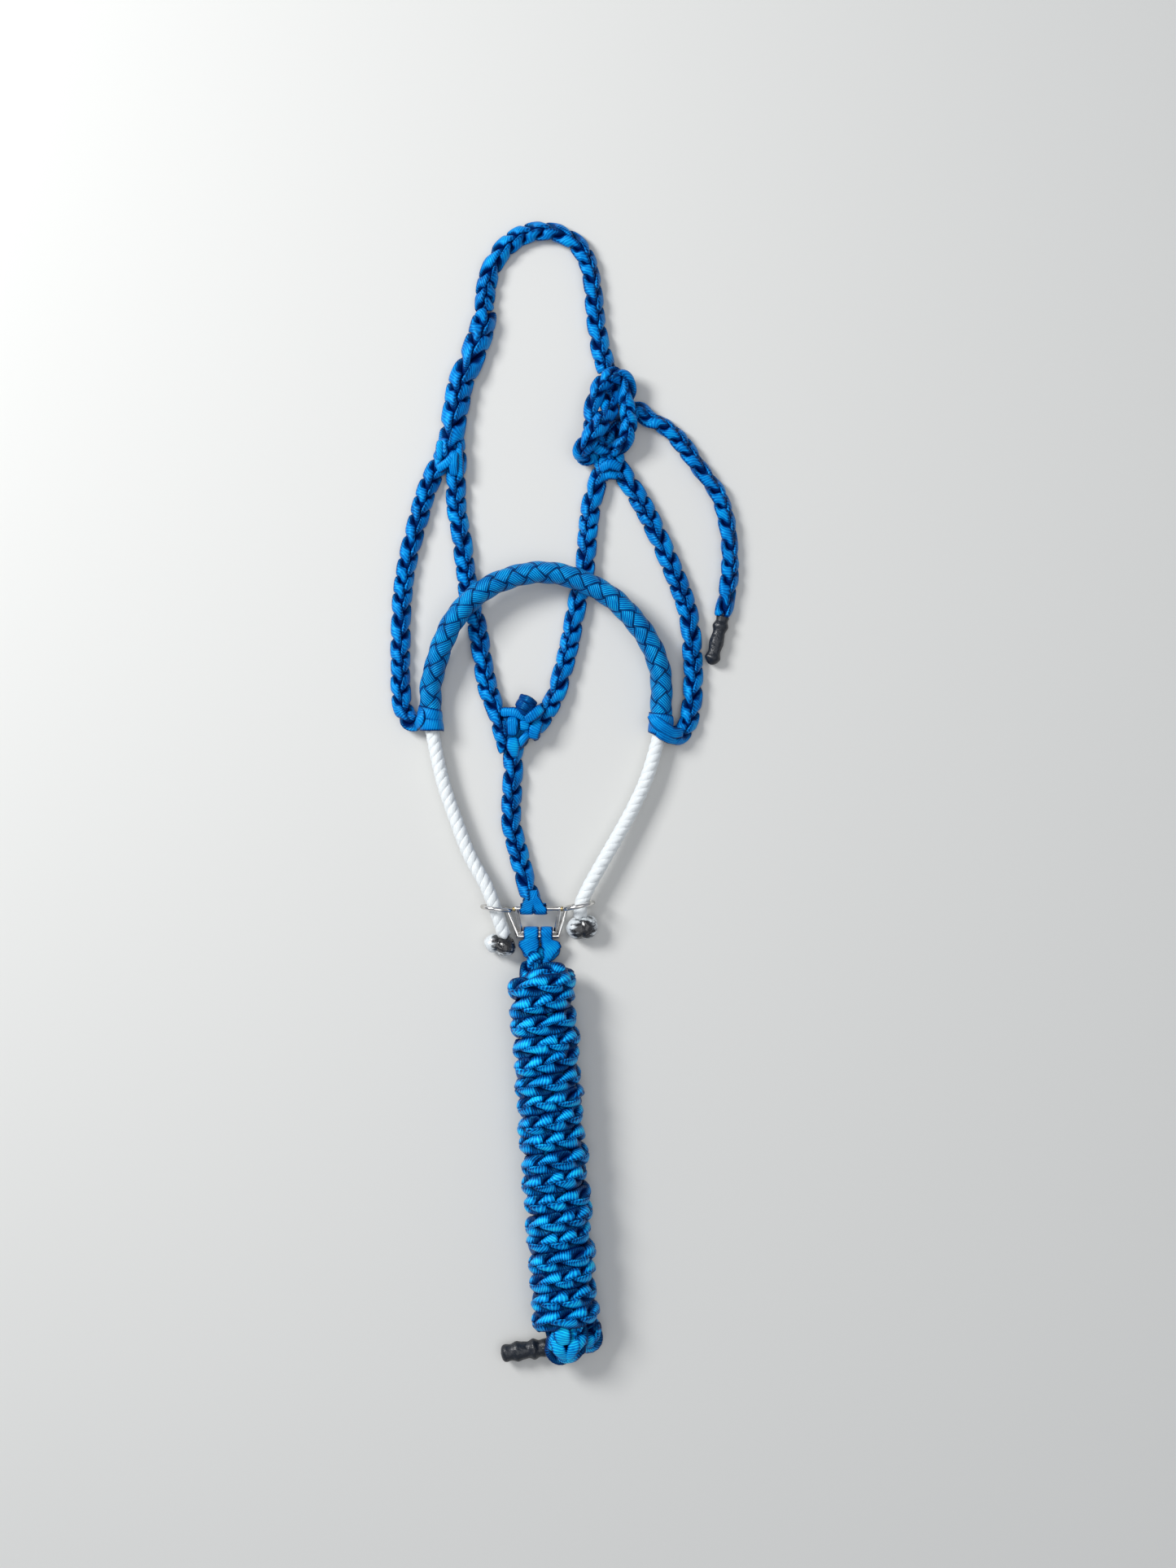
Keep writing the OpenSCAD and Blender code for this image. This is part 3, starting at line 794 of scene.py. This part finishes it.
def throat_knot_core():
    """The shaded tape that fills the knot under its lobes."""
    base = [(-0.0225, -0.0850, 0.0060), (-0.0215, -0.1000, 0.0060), (-0.0235, -0.1150, 0.0055)]
    under = piece("throat_knot_core", [tape(base, [0.014, 0.026, 0.010], thick=0.0100)], DARK_TAPE, "halter")


def throat_knot_end():
    """The folded tape end that stands on the knot."""
    ball = [
        knob([(-0.0143, -0.0840, 0.0112, 0.0074)], 33),
        tape(
            [(-0.0212, -0.0812, 0.0105), (-0.0150, -0.0842, 0.0180), (-0.0092, -0.0880, 0.0120)],
            [0.005, 0.0062, 0.005], thick=0.0035,
        ),
        tape(
            [(-0.0190, -0.0770, 0.0105), (-0.0125, -0.0795, 0.0172), (-0.0078, -0.0830, 0.0120)],
            [0.005, 0.0058, 0.005], thick=0.0035,
        ),
    ]
    obj = piece("throat_knot_end", ball, DARK_TAPE, "halter")
    finished(obj, "tape_blue", "throat_knot_ball")


def over_bar(x, y, z, r, start, stop, count):
    """Points part of the way round a bar that runs along X: angles are from +Y, turning up."""
    a = np.linspace(start, stop, count)
    return [(x, y + r * np.cos(k), z + r * np.sin(k)) for k in a]


def fold(points, widths, thick, lean):
    """A flat tape folded round a bar along X, facing out from it, with a width at each point."""
    path = smooth(points)
    at = distances(path)
    s = np.linspace(0, at[-1], int(at[-1] / 0.0007))
    c = sample(path, at, s)
    head = unit(np.gradient(c, axis=0))
    side = np.broadcast_to(np.array((-1.0, 0.0, 0.0)), c.shape)
    half_w = np.interp(s, at[::10], widths) / 2
    seed = int(abs(points[0][0]) * 1e5)
    half_w = half_w * (1 + drift(s, seed, size=0.05, reach=0.006))
    half_t = thick / 2 * rounded(np.minimum(s, at[-1] - s), over=0.0014, least=0.1)
    out = unit(np.cross(side, head))
    return strand(c, side, out, half_w, half_t, pi - lean, sides=26, full=0.8)


def stem():
    """The braid from the throat knot to the dee."""
    strap("stem_braid", STEM_ROUTE, "stem_strap", seed=20, roll=(20, 5, 15, 0), facet=STEM_FACET)


def stem_turns():
    """The folds of tape round the dee's bar: two broad turns, and a narrower one between them."""
    low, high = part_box("stem_loop")
    y, z = (low.y + high.y) / 2, (low.z + high.z) / 2
    strands = []
    for x, out, r, lean, width in (
        (-0.0140, 0.0025, 0.0037, 0.5, (0.0050, 0.0085, 0.0098, 0.0090)),
        (-0.0042, -0.0040, 0.0037, 2.3, (0.0050, 0.0080, 0.0092, 0.0080)),
        (-0.0090, 0.0, 0.0030, 1.2, (0.0060, 0.0070, 0.0075, 0.0060)),
    ):
        path = [(x + out * 1.6, y + 0.0130, z + 0.0005), (x + out, y + 0.0070, z + 0.0030)]
        path += over_bar(x, y, z, r, start=0.55 * pi, stop=1.55 * pi, count=9)
        path += over_bar(x, y, z, r - 0.0004, start=1.75 * pi, stop=2.1 * pi, count=4)
        wide = list(width[:2]) + [width[2]] * 9 + [width[3]] * 4
        strands.append(fold(path, wide, thick=0.0016, lean=lean))
    obj = piece("stem_turns", strands, TAPE, "halter")
    finished(obj, "tape_blue", "stem_loop")


def nose_rope():
    """The white rope, from one melted end to the other."""
    path = smooth(LEFT_LEG + NOSE_ROUTE + RIGHT_LEG)
    rope = piece("nose_rope_strands", laid_rope(path, ROPE_D), ROPE, "halter")
    finished(rope, "rope_white", "nose_rope")


def nose_cover():
    """The tape braided over the rope across the nose, with its ends inside the collars."""
    path = smooth(LEFT_LEG[-1:] + NOSE_ROUTE + RIGHT_LEG[:1])
    cover = piece("nose_cover_braid", herringbone(path, COVER_D / 2), COVER_TAPE, "halter")
    finished(cover, "tape_blue", "nose_cover")


def collar(name, route, node, over):
    """Tape wound close round the cover's end, and the lobes of the cheek strap that lie over it."""
    path = smooth(route)
    low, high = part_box(node)
    middle = (low.y + high.y) / 2
    path = path[np.abs(path[:, 1] - middle) < (high.y - low.y) / 2]
    at = distances(path)
    half_w, half_t, pitch = 0.0046, 0.0008, 0.0075
    inset = 0.0036  # of the first and last turns' middles from the collar's ends
    turns = at[-1] / pitch
    a = np.linspace(0, 2 * pi * (turns - 0.9), int(turns * 40))
    c = sample(path, at, inset + np.linspace(0, at[-1] - 2 * inset, len(a)))
    _, side, up = triad(c, (0, 0, 1))
    out = side * np.cos(a)[:, None] + up * np.sin(a)[:, None]
    centre = c + out * (WRAP_D / 2 - half_t - 0.0001)
    head = unit(np.gradient(centre, axis=0))
    wound = strand(centre, unit(np.cross(head, out)), out, half_w, half_t, lean=0.2, sides=14)
    obj = piece(name, [wound] + over, TAPE, "halter")
    finished(obj, "tape_blue", node)


def left_collar():
    """The collar at the cover's left end, with the one lobe that lies over it."""
    lobe = tape(
        [(-0.0925, -0.0975, 0.0075), (-0.0895, -0.0950, 0.0145), (-0.0880, -0.0900, 0.0160),
         (-0.0890, -0.0855, 0.0125)],
        [0.0060, 0.0075, 0.0070, 0.0060], thick=0.0035, outward=(-0.5, 0, 1), lean=0.15,
    )
    collar("left_collar", LEFT_LEG[-2:] + NOSE_ROUTE[:2], "left_nose_wrap", [lobe])


def right_collar():
    """The collar at the cover's right end, with the two folds that reach from the cheek strap."""
    upper = tape(
        [(0.0735, -0.0895, 0.0130), (0.0765, -0.0940, 0.0168), (0.0825, -0.0990, 0.0172),
         (0.0895, -0.1025, 0.0140), (0.0965, -0.1020, 0.0095)],
        [0.0060, 0.0085, 0.0095, 0.0080, 0.0070], thick=0.0032, outward=(0.1, -0.1, 1),
    )
    lower = tape(
        [(0.0745, -0.0985, 0.0120), (0.0790, -0.1025, 0.0162), (0.0850, -0.1060, 0.0145),
         (0.0910, -0.1075, 0.0100), (0.0970, -0.1060, 0.0070)],
        [0.0050, 0.0065, 0.0070, 0.0065, 0.0050], thick=0.0032, outward=(0.1, -0.3, 1),
    )
    collar("right_collar", NOSE_ROUTE[-2:] + RIGHT_LEG[:2], "right_nose_wrap", [upper, lower])


def rope_stop(side, balls, seed, burnt_at, reach):
    """One of the rope's melted ends, which keep it from pulling out of its rings."""
    burnt = burnt_material(side + "_burnt", burnt_at, reach)
    obj = piece(side + "_burnt_stop", [knob(balls, seed)], burnt, "halter")
    finished(obj, "burnt_rope", side + "_rope_stop")


def rope_stops():
    """Both melted ends, each as balls (x, y, z, radius) run together."""
    left = [(-0.0375, -0.252, 0.0068, 0.0066), (-0.0295, -0.2535, 0.0076, 0.0074)]
    right = [(0.022, -0.2405, 0.0085, 0.0083), (0.0283, -0.240, 0.0085, 0.0083)]
    rope_stop("left", left, seed=31, burnt_at=(-0.0290, -0.2495, 0.0140), reach=0.0125)
    rope_stop("right", right, seed=32, burnt_at=(0.0270, -0.2425, 0.0165), reach=0.0105)


# ---------------------------------------------------------------- hardware
def metal():
    """The rings and dees keep their CAD shapes, in nickel and brass."""
    for material, nodes in (
        (NICKEL, ("left_ring", "right_ring", "inner_dee", "outer_dee")),
        (BRAZE, ("left_braze", "right_braze")),
    ):
        for node in nodes:
            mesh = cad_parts[node].data
            mesh.materials.clear()
            mesh.materials.append(material)


# ---------------------------------------------------------------- lead
def along_hank(points):
    """Points in the hank's own frame, put where the hank lies."""
    p = np.array(points, float)
    c, s = np.cos(HANK_TURN), np.sin(HANK_TURN)
    x, y = p[..., 0], p[..., 1]
    return np.stack([HANK_START[0] + x * c - y * s, HANK_START[1] + x * s + y * c, p[..., 2]], axis=-1)


def wrap_line():
    """The wraps' centreline in the hank's frame, with the way out of the hank at each point."""
    inset = 0.007  # of the first and last wraps from the hank's ends
    turns = np.arange(0, WRAPS + 0.001, 1 / 60)
    a = 2 * pi * turns
    half_x = HANK_W / 2 - BRAID_T / 2 + drift(turns, seed=51, size=0.0012, reach=2.5)
    half_z = HANK_T / 2 - BRAID_T / 2 + drift(turns, seed=52, size=0.0005, reach=2.0)
    c, s = np.cos(a), np.sin(a)
    x = half_x * np.sign(c) * np.abs(c) ** 0.8
    z = HANK_T / 2 + half_z * np.sign(s) * np.abs(s) ** 0.8
    y = -inset - (HANK_L - 2 * inset) * turns / WRAPS + drift(turns, seed=53, size=0.0010, reach=1.1)
    line = np.stack([x, y, z], axis=1)
    out = unit(np.stack([c / half_x, 0 * c, s / half_z], axis=1))
    return line, out


def core_line():
    """The four runs inside the wraps: down, up, down and up, where the wraps begin."""
    top, low = -0.004, -HANK_L - 0.002
    turn = low + 0.006  # where a run starts to turn at the hank's lower end
    beside, under, above = 0.0075, 0.0125, 0.0215  # from the middle, and the two pairs' heights
    run = (-0.06, -0.13, -0.20)
    start = [(0.0, 0.006, 0.008), (-beside, top, under)]
    down = [(-beside, y, under) for y in run]
    first_turn = [(-beside, turn, under), (0.0, low, under), (beside, turn, under)]
    up = [(beside, y, under) for y in reversed(run)]
    over = [(beside, top - 0.010, under), (beside, top, 0.017), (beside, top - 0.010, above)]
    down_again = [(beside, y, above) for y in run]
    last_turn = [
        (beside, turn, above), (beside * 0.5, low - 0.004, 0.0205), (-0.003, low - 0.0090, 0.0185),
        (-beside * 0.5 - 0.005, low - 0.004, 0.0200), (-beside, turn, above),
    ]
    up_again = [(-beside, y, above) for y in reversed(run)]
    end = [(-beside, -0.016, above), (0.002, -0.004, 0.022), (0.014, -0.004, 0.018)]
    return start + down + first_turn + up + over + down_again + last_turn + up_again + end


def lead_line():
    """The whole lead's centreline, with the way out of the hank at each point."""
    core = smooth(core_line())
    wraps, out = wrap_line()
    end = [
        (0.0170, -HANK_L - 0.004, 0.012), (0.010, -HANK_L - 0.006, 0.0075),
        (-0.009, -HANK_L - 0.006, 0.007),
    ]
    tail = smooth([wraps[-1]] + end)[1:]
    face = np.vstack([np.tile((0, 0, 1.0), (len(core), 1)), out, np.tile((0.3, 0, 1.0), (len(tail), 1))])
    c, s = np.cos(HANK_TURN), np.sin(HANK_TURN)
    spin = np.array([[c, s, 0], [-s, c, 0], [0, 0, 1]])
    return along_hank(np.vstack([core, wraps, tail])), face @ spin


def lead():
    """The whole lead: neck, folded core, wraps, and the end that goes out through the fold."""
    path, face = lead_line()
    strands = plait(
        path, face, thick=LEAD_T, width=LEAD_W, seed=46, facet=LEAD_FACET, fine=0.0014,
        sides=14, ribs=0.1, leaf=0.33, painted_side_shade=0.9, wild=1.5,
    )
    obj = piece("lead_braid", strands, LEAD_TAPE, "lead")
    finished(obj, "tape_blue", "lead_hank", "lead_bight", "lead_end", "lead_neck")
    tip = lead_tip()
    hitch = lead_hitch()
    bight = lead_bight()


def lead_tip():
    """The lead's dipped end, which lies out to the left of the hank."""
    low, high = -HANK_L, TIP_D / 2 + 0.0005
    route = [(-0.009, low - 0.007, high), (-0.028, low - 0.008, high), (-0.048, low - 0.0095, high)]
    tip = dipped_tip("lead_dip", along_hank(route), TIP_D, "lead", seed=6)
    return finished(tip, "dip_black", "lead_tip")


def lead_bight():
    """The last fold of the core, seen from above as three leaves that end in a point."""
    strands = []
    for points, width, tip, lean in (
        (
            [(-0.0085, -0.2580, 0.0240), (-0.0062, -0.2655, 0.0262), (-0.0014, -0.2745, 0.0215)],
            0.0095, 0.45, 0.5,
        ),
        (
            [(0.0058, -0.2590, 0.0240), (0.0040, -0.2660, 0.0258), (-0.0006, -0.2750, 0.0215)],
            0.0090, 0.45, -0.4,
        ),
        (
            [(-0.0030, -0.2480, 0.0245), (-0.0028, -0.2550, 0.0285), (-0.0022, -0.2630, 0.0262)],
            0.0122, 0.72, 0.3,
        ),
    ):
        widths = [width * 0.8, width, width * tip]
        strands.append(tape(along_hank(points), widths, thick=0.0052, lean=lean))
    obj = piece("lead_bight_leaves", strands, LEAD_TAPE, "lead")
    return obj


def bar_bight(x, width, lean, flare):
    """One bight of tape round a bottom bar; flare gives the x, y and width of its spread end."""
    path = [(x, SWING_Y - 0.0075, 0.0024), (x, SWING_Y - 0.0040, 0.0016)]
    path += over_bar(x, SWING_Y, SWING_Z, r=0.0046, start=-0.5 * pi, stop=0.55 * pi, count=9)
    wide = [width] * len(path)
    for at_x, at_y, at_width in flare:  # it slopes down from the bars to the neck
        path.append((at_x, at_y, 0.0096 - 0.05 * (-0.2485 - at_y)))
        wide.append(at_width)
    return fold(path, wide, thick=0.0018, lean=lean)


def lead_hitch():
    """The lead's two bights of tape over the bottom bars, drawn in to its neck."""
    left = [
        (-0.0110, -0.2476, 0.0107), (-0.0111, -0.2488, 0.0108), (-0.0121, -0.2499, 0.0146),
        (-0.0125, -0.2522, 0.0156), (-0.0122, -0.2552, 0.0130), (-0.0114, -0.2580, 0.0104),
        (-0.0103, -0.2620, 0.0064), (-0.0095, -0.2660, 0.0030),
    ]
    right = [
        (-0.0001, -0.2476, 0.0086), (0.0000, -0.2488, 0.0088), (0.0018, -0.2499, 0.0124),
        (0.0030, -0.2522, 0.0146), (0.0034, -0.2552, 0.0126), (0.0024, -0.2580, 0.0100),
        (0.0010, -0.2620, 0.0062), (0.0000, -0.2660, 0.0030),
    ]
    strands = [bar_bight(*LEFT_BIGHT, left), bar_bight(*RIGHT_BIGHT, right)]
    for points, widths, lean in (
        (
            [(-0.0130, -0.2500, 0.0062), (-0.0115, -0.2570, 0.0062), (-0.0075, -0.2640, 0.0062)],
            [0.0120, 0.0120, 0.0060], 0.8,
        ),
        (
            [(0.0045, -0.2500, 0.0062), (0.0040, -0.2570, 0.0062), (-0.0005, -0.2640, 0.0062)],
            [0.0105, 0.0110, 0.0060], 2.2,
        ),
        ([(-0.0045, -0.2540, 0.0045), (-0.0045, -0.2690, 0.0060)], [0.0060, 0.0080], 0.3),
        ([(-0.0070, -0.2610, 0.0085), (-0.0062, -0.2690, 0.0100)], [0.0055, 0.0065], 0.3),
        ([(-0.0012, -0.2615, 0.0085), (0.0003, -0.2690, 0.0100)], [0.0050, 0.0070], 0.3),
    ):
        strands.append(tape(points, widths, thick=0.0055, lean=lean))
    obj = piece("lead_hitch", strands, TAPE, "lead")
    return finished(obj, "tape_blue", "lead_loop_left", "lead_loop_right")


# ---------------------------------------------------------------- stage
def lamp(name, at, size, power):
    """A soft square light aimed at the middle of the halter."""
    light = bpy.data.lights.new(name, "AREA")
    light.size = size
    light.energy = power
    obj = bpy.data.objects.new(name, light)
    bpy.context.scene.collection.objects.link(obj)
    obj.location = at
    aim = Vector((0, -0.1, 0)) - Vector(at)
    obj.rotation_euler = aim.to_track_quat("-Z", "Y").to_euler()


def stage():
    """Plain pale floor, and soft studio light from above and from the left."""
    bpy.ops.mesh.primitive_plane_add(size=8, location=(0, 0, 0))
    floor = bpy.context.object
    floor.name = "floor"
    m = Nodes("pale_floor")
    floor.data.materials.append(m.end(Base_Color=(0.62, 0.62, 0.60, 1), Roughness=0.9))
    lamp("key", (-1.3, 0.7, 1.3), size=0.7, power=40)
    lamp("top", (0.4, -0.3, 2.4), size=2.2, power=20)
    world = bpy.data.worlds.new("studio")
    world.use_nodes = True
    sky = world.node_tree.nodes["Background"]
    sky.inputs["Color"].default_value = (0.85, 0.9, 1.0, 1)
    sky.inputs["Strength"].default_value = 0.35
    bpy.context.scene.world = world
    bpy.context.scene.view_settings.view_transform = "Standard"


def camera():
    """Straight overhead, as the halter was laid out on the ground."""
    data = bpy.data.cameras.new("camera")
    data.sensor_fit = "VERTICAL"
    data.angle = 2 * atan(VIEW_H / 2 / VIEW_UP)
    cam = bpy.data.objects.new("camera", data)
    cam.location = (*VIEW_AT, VIEW_UP)
    bpy.context.scene.collection.objects.link(cam)
    bpy.context.scene.camera = cam


camera()
lead()
tie_tail()
crown()
left_straps()
right_straps()
left_fork()
right_fork()
crown_tie()
throat_knot_lobes()
throat_knot_core()
throat_knot_end()
stem()
stem_turns()
nose_rope()
nose_cover()
left_collar()
right_collar()
rope_stops()
metal()
stage()
